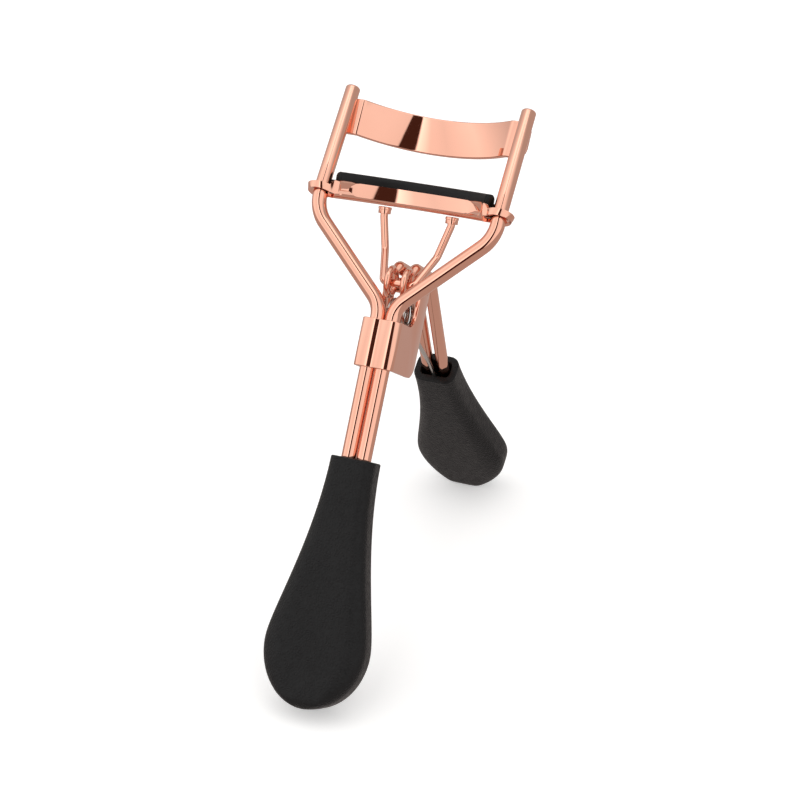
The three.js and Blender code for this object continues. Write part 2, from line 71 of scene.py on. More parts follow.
def joint_place(name):
    for joint in frame["joints"]:
        if joint["name"] == name:
            return Vector(joint["pos_m"])
    raise RuntimeError("no joint named " + name)


# ---------------------------------------------------------------- axes

LEAN = rad(31.4)
HEAD_TILT = rad(15.3)
JAW_TILT = rad(8)
JAW_SWING = rad(18)
ARM_ANGLE = rad(66.73)
PIVOT = Vector((0, 9.7, 74.4))
GUIDE_HEIGHT = 87.7
HEAD_LENGTH = 20.2
UPPER_JAW_RISE = 15.0
SWING_CENTRE = Vector((0, 25.835, 4.092))
LEVER_LENGTH = 71.4

HANDLE = (
    Matrix.Translation(joint_place("lever_hinge"))
    @ Matrix.Rotation(-LEAN, 4, "X")
    @ Matrix.Scale(MM, 4)
    @ Matrix.Translation(-PIVOT)
)
HEAD = HANDLE @ Matrix.Translation((0, 0, GUIDE_HEIGHT)) @ Matrix.Rotation(-HEAD_TILT, 4, "X")
UPPER_JAW = HEAD @ Matrix.Translation((0, 0, UPPER_JAW_RISE)) @ Matrix.Rotation(JAW_TILT, 4, "X")
LOWER_JAW = (
    HEAD
    @ Matrix.Translation(SWING_CENTRE)
    @ Matrix.Rotation(JAW_SWING, 4, "X")
    @ Matrix.Translation((0, -SWING_CENTRE.y, SWING_CENTRE.z))
    @ Matrix.Rotation(JAW_TILT, 4, "X")
)
ARM_DOWN = Vector((0, math.sin(ARM_ANGLE), -math.cos(ARM_ANGLE)))
LEVER_ARM = HANDLE @ Matrix.Translation(PIVOT + ARM_DOWN * LEVER_LENGTH) @ Matrix.Rotation(ARM_ANGLE, 4, "X")


# ---------------------------------------------------------------- sizes and colours


def length(name, metres, about):
    return bpy.props.FloatProperty(
        name=name, description=about, default=metres, min=0.0, unit="LENGTH", subtype="DISTANCE", precision=5
    )


def colour(name, value, about):
    return bpy.props.FloatVectorProperty(
        name=name, description=about, default=value, size=4, min=0.0, max=1.0, subtype="COLOR"
    )


class CurlerSizes(bpy.types.PropertyGroup):
    """Sizes of the curler's pieces"""

    rod_radius: length("Rod Radius", 0.0013, "Radius of the two frame rods")
    head_half_width: length("Head Half Width", 0.0162, "Half-distance between the frame rods at the jaws")
    jaw_sheet: length("Upper Jaw Sheet", 0.00085, "Thickness of the upper jaw")
    jaw_height: length("Upper Jaw Height", 0.0066, "Height of the upper jaw")
    bow_radius: length("Bow Radius", 0.022317, "Radius of the curve that both jaws follow")
    channel_sheet: length("Channel Sheet", 0.0007, "Thickness of the lower jaw's sheet")
    pad_thickness: length("Pad Thickness", 0.0021, "Thickness of the silicone pad")
    yoke_radius: length("Yoke Wire Radius", 0.00068, "Radius of the wire under the lower jaw")
    ferrule_sheet: length("Ferrule Sheet", 0.00075, "Thickness of the ferrule")
    lever_rod_radius: length("Lever Rod Radius", 0.00115, "Radius of the two lever rods")
    loop_wire: length("Nose Loop Wire", 0.00058, "Radius of the wire in the lever's nose loops")
    spring_wire: length("Spring Wire", 0.0004, "Radius of the torsion spring's wire")
    grip_length: length("Grip Length", 0.0428, "Length of each grip")
    grip_half_width: length("Grip Half Width", 0.0091, "Half-width of each grip at its widest")
    grip_neck: length("Grip Neck", 0.0041, "Half-width of each grip at its neck")


class CurlerColours(bpy.types.PropertyGroup):
    """Colours of the curler's finishes"""

    plating: colour("Plating", (0.93, 0.525, 0.4, 1), "Rose plating on the wire and sheet")
    plating_deep: colour("Plating Shade", (0.87, 0.435, 0.315, 1), "Warmer patches in the plating")
    spring: colour("Spring Steel", (0.62, 0.6, 0.57, 1), "Bare wire of the torsion spring")
    silicone: colour("Silicone", (0.006, 0.006, 0.0065, 1), "Pad in the lower jaw")
    grip: colour("Grip", (0.0045, 0.0045, 0.005, 1), "Soft black grips")
    floor: colour("Floor", (0.93, 0.93, 0.93, 1), "Table under the curler")


def size(name):
    return getattr(bpy.context.scene.curler_sizes, name) / MM


def tint(name):
    return tuple(getattr(bpy.context.scene.curler_colours, name))


# ---------------------------------------------------------------- modelling helpers


def clear_selection():
    if bpy.context.mode != "OBJECT":
        bpy.ops.object.mode_set(mode="OBJECT")
    bpy.ops.object.select_all(action="DESELECT")


def only(obj):
    clear_selection()
    obj.select_set(True)
    bpy.context.view_layer.objects.active = obj


def settle(obj):
    """Puts the object's place, turn and scale into its mesh."""
    only(obj)
    bpy.ops.object.transform_apply(location=True, rotation=True, scale=True)


def round_section(at, toward, radius, sides=24, fill="NGON"):
    """A disc, or a bare ring, that faces along `toward`, left in edit mode."""
    clear_selection()
    turn = toward.to_track_quat("Z", "Y").to_euler()
    bpy.ops.mesh.primitive_circle_add(
        vertices=sides, radius=radius, fill_type=fill, location=at, rotation=turn
    )
    return open_up()


def flat_section(at, side, up, width, height):
    """A rectangle spanning `width` along `side` and `height` along `up`, left in edit mode."""
    clear_selection()
    turn = Matrix((side, up, side.cross(up))).transposed().to_euler()
    bpy.ops.mesh.primitive_plane_add(size=1, location=at, rotation=turn)
    bpy.context.object.scale = (width, height, 1)
    return open_up()


def open_up():
    obj = bpy.context.object
    settle(obj)
    bpy.ops.object.mode_set(mode="EDIT")
    bpy.ops.mesh.select_mode(type="VERT")
    bpy.ops.mesh.select_all(action="SELECT")
    return obj


def pick(obj, kind, test):
    """Selects the vertices, edges or faces that pass the test."""
    bpy.ops.mesh.select_mode(type=kind)
    bpy.ops.mesh.select_all(action="DESELECT")
    mesh = bmesh.from_edit_mesh(obj.data)
    parts = {"VERT": mesh.verts, "EDGE": mesh.edges, "FACE": mesh.faces}[kind]
    chosen = [part for part in parts if test(part)]
    if not chosen:
        raise RuntimeError("nothing to select on " + obj.name)
    for part in chosen:
        part.select_set(True)
    mesh.select_flush_mode()
    bmesh.update_edit_mesh(obj.data)


def pull(offset):
    bpy.ops.mesh.extrude_region_move(TRANSFORM_OT_translate={"value": tuple(offset)})


def swell(factors, centre):
    bpy.ops.transform.resize(value=factors, center_override=tuple(centre))


def wind(centre, axis, angle, steps):
    """Spins the selection by `angle` about `axis`, by the right-hand rule."""
    bpy.ops.mesh.spin(steps=steps, angle=-angle, center=tuple(centre), axis=tuple(axis))


def follow(points, radii, fineness=rad(5)):
    """Runs the selected section along the corners, with a round bend at each inner one."""
    at = points[0]
    for i in range(1, len(points) - 1):
        corner = points[i]
        back = (points[i - 1] - corner).normalized()
        on = (points[i + 1] - corner).normalized()
        half = back.angle(on) / 2
        run = radii[i - 1] / math.tan(half)
        start = corner + back * run
        if (start - at).length > SAME_PLACE:
            pull(start - at)
        turn = math.pi - 2 * half
        centre = corner + (back + on).normalized() * (radii[i - 1] / math.sin(half))
        wind(centre, (-back).cross(on).normalized(), turn, max(1, round(turn / fineness)))
        at = corner + on * run
    if (points[-1] - at).length > SAME_PLACE:
        pull(points[-1] - at)


def caps(obj, corners=5):
    """Selects the end faces of a swept wire."""
    pick(obj, "FACE", lambda f: len(f.verts) >= corners)


def soften_ends(obj, width, corners=5, segments=3):
    caps(obj, corners)
    bpy.ops.mesh.bevel(offset=width, segments=segments, affect="EDGES")


def tidy(obj):
    """Merges doubles and turns every face outwards."""
    bpy.ops.mesh.select_all(action="SELECT")
    bpy.ops.mesh.remove_doubles(threshold=SAME_PLACE)
    bpy.ops.mesh.normals_make_consistent(inside=False)
    bpy.ops.object.mode_set(mode="OBJECT")


def modify(obj, kind, **settings):
    only(obj)
    bpy.ops.object.modifier_add(type=kind)
    modifier = obj.modifiers[-1]
    for key, value in settings.items():
        setattr(modifier, key, value)
    bpy.ops.object.modifier_apply(modifier=modifier.name)


def wall(obj, thickness, edge, offset=0.0):
    even = {"use_even_offset": True, "use_quality_normals": True}
    modify(obj, "SOLIDIFY", thickness=thickness, offset=offset, **even)
    modify(obj, "BEVEL", width=edge, segments=3, limit_method="ANGLE", angle_limit=rad(50))


def mirrored(obj):
    modify(obj, "MIRROR", use_axis=(True, False, False), use_clip=True, merge_threshold=0.001)
    bpy.ops.object.mode_set(mode="EDIT")
    tidy(obj)


def wire(name, points, radii, radius, sides=24, tip=0.3, fineness=rad(5)):
    obj = round_section(points[0], (points[1] - points[0]).normalized(), radius, sides)
    follow(points, radii, fineness)
    if tip:
        soften_ends(obj, tip * radius)
    tidy(obj)
    obj.name = name
    return obj


def copy_across(obj, name):
    """A copy of the piece on the other side, with its own mesh."""
    only(obj)
    bpy.ops.object.duplicate(linked=False)
    twin = bpy.context.object
    twin.scale = (-1, 1, 1)
    settle(twin)
    bpy.ops.object.mode_set(mode="EDIT")
    tidy(twin)
    twin.name = name
    return twin


def fit(obj, name, place, finish, body, nodes, smooth=rad(38)):
    """Sets a finished piece down at true size, paints it and joins it to its body."""
    obj.name = name
    obj.data.name = name
    obj.matrix_world = place
    settle(obj)
    bpy.ops.object.shade_smooth_by_angle(angle=smooth)
    obj.data.materials.clear()
    obj.data.materials.append(finish)
    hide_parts(*nodes)
    if body:
        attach(obj, body)
    return obj


# ---------------------------------------------------------------- materials


class Nodes:
    """Adds and joins nodes in one tree."""

    def __init__(self, tree):
        self.tree = tree

    def add(self, kind, values=None, **settings):
        node = self.tree.nodes.new(kind)
        for key, value in settings.items():
            setattr(node, key, value)
        for key, value in (values or {}).items():
            node.inputs[key].default_value = value
        return node

    def join(self, source, target):
        self.tree.links.new(source, target)


def new_group(name, inputs, outputs):
    tree = bpy.data.node_groups.new(name, "ShaderNodeTree")
    for label, kind in inputs:
        tree.interface.new_socket(name=label, in_out="INPUT", socket_type="NodeSocket" + kind)
    for label, kind in outputs:
        tree.interface.new_socket(name=label, in_out="OUTPUT", socket_type="NodeSocket" + kind)
    return tree


def plated_tone():
    """Slow colour patches, polish marks and faint ripples of plated metal."""
    name = "Plated Tone"
    if name in bpy.data.node_groups:
        return bpy.data.node_groups[name]
    tree = new_group(
        name,
        (
            ("Bright", "Color"),
            ("Deep", "Color"),
            ("Patch Scale", "Float"),
            ("Polish Low", "Float"),
            ("Polish High", "Float"),
        ),
        (("Colour", "Color"), ("Roughness", "Float"), ("Height", "Float")),
    )
    n = Nodes(tree)
    into = n.add("NodeGroupInput")
    out = n.add("NodeGroupOutput")
    place = n.add("ShaderNodeTexCoord")
    patches = n.add("ShaderNodeTexNoise", {"Detail": 2.0, "Roughness": 0.5})
    n.join(place.outputs["Object"], patches.inputs["Vector"])
    n.join(into.outputs["Patch Scale"], patches.inputs["Scale"])
    mix = n.add("ShaderNodeMix", data_type="RGBA")
    n.join(patches.outputs["Fac"], mix.inputs["Factor"])
    n.join(into.outputs["Bright"], mix.inputs[6])
    n.join(into.outputs["Deep"], mix.inputs[7])
    n.join(mix.outputs[2], out.inputs["Colour"])
    marks = n.add("ShaderNodeTexNoise", {"Scale": 2600.0, "Detail": 4.0, "Roughness": 0.6})
    n.join(place.outputs["Object"], marks.inputs["Vector"])
    polish = n.add("ShaderNodeMapRange", {"From Min": 0.35, "From Max": 0.75})
    n.join(marks.outputs["Fac"], polish.inputs["Value"])
    n.join(into.outputs["Polish Low"], polish.inputs["To Min"])
    n.join(into.outputs["Polish High"], polish.inputs["To Max"])
    n.join(polish.outputs["Result"], out.inputs["Roughness"])
    ripple = n.add("ShaderNodeTexNoise", {"Scale": 420.0, "Detail": 2.0})
    n.join(place.outputs["Object"], ripple.inputs["Vector"])
    n.join(ripple.outputs["Fac"], out.inputs["Height"])
    return tree


def moulded_grain():
    """Fine pebbled skin of a moulded rubber-like surface, with worn pale specks."""
    name = "Moulded Grain"
    if name in bpy.data.node_groups:
        return bpy.data.node_groups[name]
    tree = new_group(
        name,
        (
            ("Base", "Color"),
            ("Rubbed", "Color"),
            ("Grain Scale", "Float"),
            ("Low", "Float"),
            ("High", "Float"),
        ),
        (("Colour", "Color"), ("Roughness", "Float"), ("Height", "Float")),
    )
    n = Nodes(tree)
    into = n.add("NodeGroupInput")
    out = n.add("NodeGroupOutput")
    place = n.add("ShaderNodeTexCoord")
    cells = n.add("ShaderNodeTexVoronoi", feature="DISTANCE_TO_EDGE")
    n.join(place.outputs["Object"], cells.inputs["Vector"])
    n.join(into.outputs["Grain Scale"], cells.inputs["Scale"])
    pebbles = n.add("ShaderNodeMapRange", {"From Max": 0.35}, interpolation_type="SMOOTHSTEP")
    n.join(cells.outputs["Distance"], pebbles.inputs["Value"])
    haze = n.add("ShaderNodeTexNoise", {"Scale": 900.0, "Detail": 5.0, "Roughness": 0.65})
    n.join(place.outputs["Object"], haze.inputs["Vector"])
    height = n.add("ShaderNodeMath", operation="MULTIPLY")
    n.join(pebbles.outputs["Result"], height.inputs[0])
    n.join(haze.outputs["Fac"], height.inputs[1])
    n.join(height.outputs["Value"], out.inputs["Height"])
    broad = n.add("ShaderNodeTexNoise", {"Scale": 130.0, "Detail": 3.0})
    n.join(place.outputs["Object"], broad.inputs["Vector"])
    mix = n.add("ShaderNodeMix", data_type="RGBA")
    n.join(broad.outputs["Fac"], mix.inputs["Factor"])
    n.join(into.outputs["Base"], mix.inputs[6])
    n.join(into.outputs["Rubbed"], mix.inputs[7])
    n.join(mix.outputs[2], out.inputs["Colour"])
    rough = n.add("ShaderNodeMapRange", {"From Min": 0.3, "From Max": 0.7})
    n.join(haze.outputs["Fac"], rough.inputs["Value"])
    n.join(into.outputs["Low"], rough.inputs["To Min"])
    n.join(into.outputs["High"], rough.inputs["To Max"])
    n.join(rough.outputs["Result"], out.inputs["Roughness"])
    return tree


def new_material(name, group, values, shader, bump):
    """A material whose colour, roughness and bump come from one finish group."""
    if name in bpy.data.materials:
        return bpy.data.materials[name]
    material = bpy.data.materials.new(name)
    material.use_nodes = True
    tree = material.node_tree
    tree.nodes.clear()
    n = Nodes(tree)
    out = n.add("ShaderNodeOutputMaterial")
    body = n.add("ShaderNodeBsdfPrincipled", shader)
    finish = n.add("ShaderNodeGroup", node_tree=group)
    for key, value in values.items():
        finish.inputs[key].default_value = value
    n.join(finish.outputs["Colour"], body.inputs["Base Color"])
    n.join(finish.outputs["Roughness"], body.inputs["Roughness"])
    relief = n.add("ShaderNodeBump", {"Strength": bump[0], "Distance": bump[1]})
    n.join(finish.outputs["Height"], relief.inputs["Height"])
    n.join(relief.outputs["Normal"], body.inputs["Normal"])
    n.join(body.outputs["BSDF"], out.inputs["Surface"])
    return material


def rose_plating(name="Rose Plating", low=0.025, high=0.06, bump=0.1):
    return new_material(
        name,
        plated_tone(),
        {
            "Bright": tint("plating"),
            "Deep": tint("plating_deep"),
            "Patch Scale": 70.0,
            "Polish Low": low,
            "Polish High": high,
        },
        {"Metallic": 1.0},
        (bump, 0.00002),
    )


def weld_plating():
    return rose_plating("Weld Plating", 0.16, 0.34, 0.6)


def spring_steel():
    return new_material(
        "Spring Steel",
        plated_tone(),
        {
            "Bright": tint("spring"),
            "Deep": (0.5, 0.44, 0.4, 1),
            "Patch Scale": 160.0,
            "Polish Low": 0.14,
            "Polish High": 0.28,
        },
        {"Metallic": 1.0},
        (0.15, 0.00002),
    )


def pad_silicone():
    return new_material(
        "Pad Silicone",
        moulded_grain(),
        {
            "Base": tint("silicone"),
            "Rubbed": (0.011, 0.011, 0.0115, 1),
            "Grain Scale": 5200.0,
            "Low": 0.34,
            "High": 0.5,
        },
        {"Metallic": 0.0, "Specular IOR Level": 0.2},
        (0.12, 0.00003),
    )


def grip_skin():
    return new_material(
        "Grip Skin",
        moulded_grain(),
        {
            "Base": tint("grip"),
            "Rubbed": (0.009, 0.009, 0.0095, 1),
            "Grain Scale": 1900.0,
            "Low": 0.3,
            "High": 0.5,
        },
        {"Metallic": 0.0, "Specular IOR Level": 0.22, "Sheen Weight": 0.02, "Sheen Roughness": 0.4},
        (0.9, 0.00012),
    )


# ---------------------------------------------------------------- frame

ROD_PAIR_GAP = 0.12
FERRULE_BOTTOM = 58.5
FERRULE_TOP = 66.9
FERRULE_ROOM = 0.15
VEE_ABOVE_FERRULE = 0.4
SHOULDER_ANGLE = rad(46)
BENDS = (5.0, 6.5, 9.0)
ROD_DEPTH = 20.0


def rod_pair():
    return size("rod_radius") + ROD_PAIR_GAP / 2


class CURLER_OT_frame_rods(bpy.types.Operator):
    """Bend the two frame rods, from the grip over the shoulders to the head"""

    bl_idname = "curler.frame_rods"
    bl_label = "Frame Rods"

    def execute(self, context):
        near = rod_pair()
        far = size("head_half_width")
        foot = size("grip_length") - ROD_DEPTH
        vee = FERRULE_TOP + VEE_ABOVE_FERRULE + BENDS[0] * math.tan(SHOULDER_ANGLE / 2)
        shoulder = vee + (far - near) / math.tan(SHOULDER_ANGLE)
        tip = (HEAD_LENGTH * math.sin(HEAD_TILT), GUIDE_HEIGHT + HEAD_LENGTH * math.cos(HEAD_TILT))
        points = [
            Vector((-near, 0, foot)),
            Vector((-near, 0, vee)),
            Vector((-far, 0, shoulder)),
            Vector((-far, 0, GUIDE_HEIGHT)),
            Vector((-far, *tip)),
        ]
        left = wire("rod", points, BENDS, size("rod_radius"), 32, 0.28, rad(3))
        right = copy_across(left, "rod_twin")
        fit(
            left, "frame_rod_plated_left", HANDLE, rose_plating(),
            "frame", ["left_frame_rod"],
        )
        fit(
            right, "frame_rod_plated_right", HANDLE, rose_plating(),
            "frame", ["right_frame_rod"],
        )
        return {"FINISHED"}


# ---------------------------------------------------------------- jaws

TAB_FOLD = 13.7
TAB_LENGTH = 2.7
TAB_MIDDLE = 1.375
FOLD_RADIUS = 1.0
FOLD_SLACK = 0.02
BOW_RISE = 4.7
BOW_FINENESS = rad(1.5)
JAW_ROUNDING = 0.2
JAW_END_ROUNDING = 0.15
WELD_START = 0.2475
WELD_BESIDE_ROD = 0.72
WELD_SET_BACK = 0.05
WELD_INSET = 1.0
WELD_END_ROUNDING = 0.1
WELD_LUMPS = (1.5, 1.22, 0.86, 1.2, 0.82, 1.16, 0.88, 1.1, 0.55)


def bow_centre():
    return Vector((0, TAB_MIDDLE + BOW_RISE - size("bow_radius"), 0))


class CURLER_OT_upper_jaw(bpy.types.Operator):
    """Bow the upper jaw's strip between its two end tabs, and lay the welds"""

    bl_idname = "curler.upper_jaw"
    bl_label = "Upper Jaw"

    def execute(self, context):
        height = size("jaw_height")
        sheet = size("jaw_sheet")
        reach = math.asin(TAB_FOLD / size("bow_radius"))
        end = TAB_FOLD + TAB_LENGTH
        points = [
            Vector((-end, TAB_MIDDLE, 0)),
            Vector((-TAB_FOLD, TAB_MIDDLE, 0)),
            Vector((0, TAB_MIDDLE + TAB_FOLD * math.tan(reach), 0)),
            Vector((TAB_FOLD, TAB_MIDDLE, 0)),
            Vector((end, TAB_MIDDLE, 0)),
        ]
        fold_run = FOLD_RADIUS * math.tan(reach / 2) + FOLD_SLACK
        bow = (TAB_FOLD / math.cos(reach) - fold_run) / math.tan(reach)
        obj = flat_section(points[0], Vector((0, 1, 0)), Vector((0, 0, 1)), sheet, height)
        bpy.ops.mesh.bevel(offset=JAW_ROUNDING, segments=4, affect="VERTICES")
        bpy.ops.mesh.select_all(action="SELECT")
        follow(points, [FOLD_RADIUS, bow, FOLD_RADIUS], BOW_FINENESS)
        soften_ends(obj, JAW_END_ROUNDING)
        tidy(obj)
        fit(obj, "upper_jaw_bow", UPPER_JAW, rose_plating(), "frame", ["upper_jaw"])
        left = self.weld(height)
        right = copy_across(left, "weld_twin")
        fit(left, "tab_weld_bead_left", UPPER_JAW, weld_plating(), "frame", ["left_tab_weld"])
        fit(
            right, "tab_weld_bead_right", UPPER_JAW, weld_plating(),
            "frame", ["right_tab_weld"],
        )
        return {"FINISHED"}

    def weld(self, height):
        """A lumpy bead between the tab and the back of its rod."""
        x = -size("head_half_width") - WELD_BESIDE_ROD
        y = TAB_MIDDLE - WELD_SET_BACK
        run = height - 2 * WELD_INSET
        at = Vector((x, y, -run / 2))
        obj = round_section(at, Vector((0, 0, 1)), WELD_START, 14)
        for lump in WELD_LUMPS:
            step = Vector((0, 0, run / len(WELD_LUMPS)))
            pull(step)
            at += step
            swell((lump, lump, 1), at)
        soften_ends(obj, WELD_END_ROUNDING)
        tidy(obj)
        modify(obj, "SUBSURF", levels=1, render_levels=1)
        return obj


CHANNEL_SPAN = 14.2
WALL_TOP = 1.75
WALL_DROP = 1.4
PAD_GRIP = 0.2
BAND_HEIGHT = 1.25
BAND_DROP = 0.2
GUIDE_CLEARANCE = 0.5
CHANNEL_ROUNDING = 0.55
CHANNEL_END_TRIM = 0.6
CHANNEL_EDGE = 0.12
CHANNEL_STEPS = 30
SHOWN_SHEET = 0.95
ON_WALL = 0.05
DENT_REACH = 3.3
DENT_DEPTH = 0.5
DENT_END_GAP = 0.4
DENT_BOTTOM = -0.4
DENT_MIDDLE = 0.45
DENT_MARGIN = 0.25
DENT_TAPER = (0.55, 0.55, 0.5)
BAND_FOOT = 0.9
BAND_HALF_SHEET = 0.25
BAND_STEPS = 8
LOOP_STEPS = 40
LOOP_FROM = rad(215)
LOOP_TO = rad(470)


class CURLER_OT_lower_jaw(bpy.types.Operator):
    """Fold the lower jaw's channel and curl its end bands round the rods"""

    bl_idname = "curler.lower_jaw"
    bl_label = "Lower Jaw"

    def execute(self, context):
        sheet = size("channel_sheet")
        middle = size("pad_thickness") / 2 + PAD_GRIP + sheet / 2
        centre = bow_centre()
        crown = centre.y + size("bow_radius")
        low = -WALL_DROP + sheet / 2
        at = Vector((0, crown, (WALL_TOP + low) / 2))
        obj = flat_section(at, Vector((0, 1, 0)), Vector((0, 0, 1)), 2 * middle, WALL_TOP - low)
        pick(obj, "VERT", lambda v: v.co.z < 0)
        bpy.ops.mesh.bevel(offset=CHANNEL_ROUNDING, segments=5, affect="VERTICES")
        pick(obj, "EDGE", lambda e: all(v.co.z > WALL_TOP - 0.01 for v in e.verts))
        bpy.ops.mesh.delete(type="EDGE")
        bpy.ops.mesh.select_all(action="SELECT")
        front = size("bow_radius") - middle
        reach = math.asin((CHANNEL_SPAN - CHANNEL_END_TRIM) / front)
        wind(centre, Vector((0, 0, 1)), -reach, CHANNEL_STEPS)
        self.dent(obj, front, centre, reach)
        self.band(obj, front, centre, reach)
        bpy.ops.object.mode_set(mode="OBJECT")
        mirrored(obj)
        wall(obj, sheet * SHOWN_SHEET, CHANNEL_EDGE)
        fit(
            obj, "lower_jaw_folded", LOWER_JAW, rose_plating(),
            "lower_jaw", ["lower_jaw_channel"],
        )
        return {"FINISHED"}

    def dent(self, obj, front, centre, reach):
        """Presses a shallow pocket into the front wall near its end."""
        edge = math.sin(reach) * front

        def on_wall(face):
            at = face.calc_center_median()
            round_bow = abs((at.xy - centre.xy).length - front) < ON_WALL
            return round_bow and edge - DENT_REACH < at.x < edge - DENT_END_GAP and at.z > DENT_BOTTOM

        pick(obj, "FACE", on_wall)
        bpy.ops.mesh.inset(thickness=DENT_MARGIN, use_even_offset=True)
        turn = reach - DENT_REACH / 2 / front
        inward = Vector((math.sin(turn), math.cos(turn), 0)) * DENT_DEPTH
        bpy.ops.transform.translate(value=tuple(inward))
        middle = centre + Vector((math.sin(turn), math.cos(turn), 0)) * (front + DENT_DEPTH)
        swell(DENT_TAPER, middle + Vector((0, 0, DENT_MIDDLE)))

    def band(self, obj, front, centre, reach):
        """Narrows the front wall's end in a smooth curve and curls it round the rod."""
        end = centre + Vector((math.sin(reach), math.cos(reach), 0)) * front

        def on_wall(edge):
            return all((v.co.xy - end.xy).length < ON_WALL for v in edge.verts)

        pick(obj, "EDGE", lambda e: on_wall(e) and abs(e.verts[0].co.z - e.verts[1].co.z) > 0.5)
        high = WALL_TOP
        low = -WALL_DROP + BAND_FOOT
        tilt = JAW_TILT + JAW_SWING
        radius = size("rod_radius") + GUIDE_CLEARANCE + BAND_HALF_SHEET
        hub = Vector((size("head_half_width"), 0, -BAND_DROP))
        axis = Vector((0, math.sin(tilt), math.cos(tilt)))
        y = radius * math.sin(LOOP_FROM)
        start = hub + Vector((radius * math.cos(LOOP_FROM), y * math.cos(tilt), -y * math.sin(tilt)))
        at = Vector((end.x, end.y, (high + low) / 2))
        tall = high - low
        origin = at.copy()
        for i in range(1, BAND_STEPS + 1):
            t = i / BAND_STEPS
            ease = t * t * (3 - 2 * t)
            target = origin.lerp(start, t)
            target.z = origin.z + (start.z - origin.z) * ease
            pull(target - at)
            next_tall = high - low + (BAND_HEIGHT - high + low) * ease
            swell((1, 1, next_tall / tall), target)
            at = target
            tall = next_tall
        wind(hub, axis, LOOP_TO - LOOP_FROM, LOOP_STEPS)


PAD_TOP = 3.3
PAD_SPAN = 14.5
PAD_FOOT = -0.45
PAD_END_TRIM = 0.45
PAD_CREST = 0.85
PAD_END_ROUNDING = 0.75
PAD_STEPS = 60


class CURLER_OT_pad(bpy.types.Operator):
    """Mould the silicone pad that stands in the lower jaw"""

    bl_idname = "curler.pad"
    bl_label = "Silicone Pad"

    def execute(self, context):
        thick = size("pad_thickness")
        centre = bow_centre()
        reach = math.asin((PAD_SPAN - PAD_END_TRIM) / size("bow_radius"))
        way = Vector((math.sin(-reach), math.cos(-reach), 0))
        at = centre + way * size("bow_radius")
        at.z = (PAD_TOP + PAD_FOOT) / 2
        obj = flat_section(at, way, Vector((0, 0, 1)), thick, PAD_TOP - PAD_FOOT)
        pick(obj, "VERT", lambda v: v.co.z > 1)
        bpy.ops.mesh.bevel(offset=PAD_CREST, segments=7, affect="VERTICES")
        bpy.ops.mesh.select_all(action="SELECT")
        wind(centre, Vector((0, 0, 1)), -2 * reach, PAD_STEPS)
        soften_ends(obj, PAD_END_ROUNDING, 5, 6)
        tidy(obj)
        fit(obj, "silicone_pad_moulded", LOWER_JAW, pad_silicone(), "lower_jaw", ["silicone_pad"])
        return {"FINISHED"}


# ---------------------------------------------------------------- yoke

YOKE_TOP_HALF = 6.2
YOKE_KINK = Vector((4.8, 6.8, 79.9))
YOKE_FOOT = Vector((2.8, 3.3, 73.9))
YOKE_BENDS = (1.0, 2.0, 1.0)
COLLAR_TOP = -1.65
COLLAR_HEIGHT = 1.2
COLLAR_OFF_BOW = 0.9
COLLAR_RADIUS = 1.19
COLLAR_WALL = 0.12
COLLAR_EDGE = 0.04
COLLAR_STEPS = ((0.42, 1.0), (0.06, 0.94), (0.72, 1.0))
YOKE_END_DROP = 0.1
YOKE_STRAIGHT = 0.4


class CURLER_OT_yoke(bpy.types.Operator):
    """Bend the yoke and turn the two collars that hold its ends under the lower jaw"""

    bl_idname = "curler.yoke"
    bl_label = "Yoke and Collars"

    def execute(self, context):
        radius = size("yoke_radius")
        y = bow_centre().y + math.sqrt((size("bow_radius") + COLLAR_OFF_BOW) ** 2 - YOKE_TOP_HALF**2)
        to_handle = HANDLE.inverted() @ LOWER_JAW
        top = to_handle @ Vector((YOKE_TOP_HALF, y, COLLAR_TOP - YOKE_END_DROP))
        below = to_handle @ Vector((YOKE_TOP_HALF, y, COLLAR_TOP - COLLAR_HEIGHT - YOKE_STRAIGHT))
        half = [top, below, YOKE_KINK, YOKE_FOOT]
        points = [Vector((-p.x, p.y, p.z)) for p in half] + half[::-1]
        obj = wire("yoke", points, list(YOKE_BENDS + YOKE_BENDS[::-1]), radius, 20, 0.25)
        fit(obj, "yoke_wire", HANDLE, rose_plating(), "yoke", ["link_yoke"])
        left = self.collar(Vector((-YOKE_TOP_HALF, y, COLLAR_TOP)))
        right = copy_across(left, "collar_twin")
        fit(left, "collar_left", LOWER_JAW, rose_plating(), "lower_jaw", ["left_yoke_collar"])
        fit(
            right, "collar_right", LOWER_JAW, rose_plating(),
            "lower_jaw", ["right_yoke_collar"],
        )
        return {"FINISHED"}

    def collar(self, at):
        """A flanged ring, wider at its top."""
        obj = round_section(at, Vector((0, 0, 1)), COLLAR_RADIUS, 28, "NOTHING")
        for drop, factor in COLLAR_STEPS:
            at = at - Vector((0, 0, drop))
            pull((0, 0, -drop))
            swell((factor, factor, 1), at)
        tidy(obj)
        wall(obj, COLLAR_WALL, COLLAR_EDGE, -1.0)
        return obj


# ---------------------------------------------------------------- ferrule and pin

VALLEY = 0.28
EAR_REACH = 11.0
EAR_CORNER = 2.6
EAR_SCOOP = 2.65
HORN_TOP = 76.2
HORN_FRONT = 6.3
HORN_REAR_CORNER = 2.0
HORN_FRONT_CORNER = 1.6
EAR_START = 1.0
FERRULE_EDGE = 0.14
VALLEY_HALF = 0.02
# Turn in degrees and radius of each roll of the front; the last radius is what reaches the side.
FERRULE_ROLLS = ((-18, 1.9), (38, 3.1), (70, None))
RIVET_RADIUS = 0.98
RIVET_NECK = 0.76
RIVET_HEAD = 0.12
RIVET_PROUD = 0.1


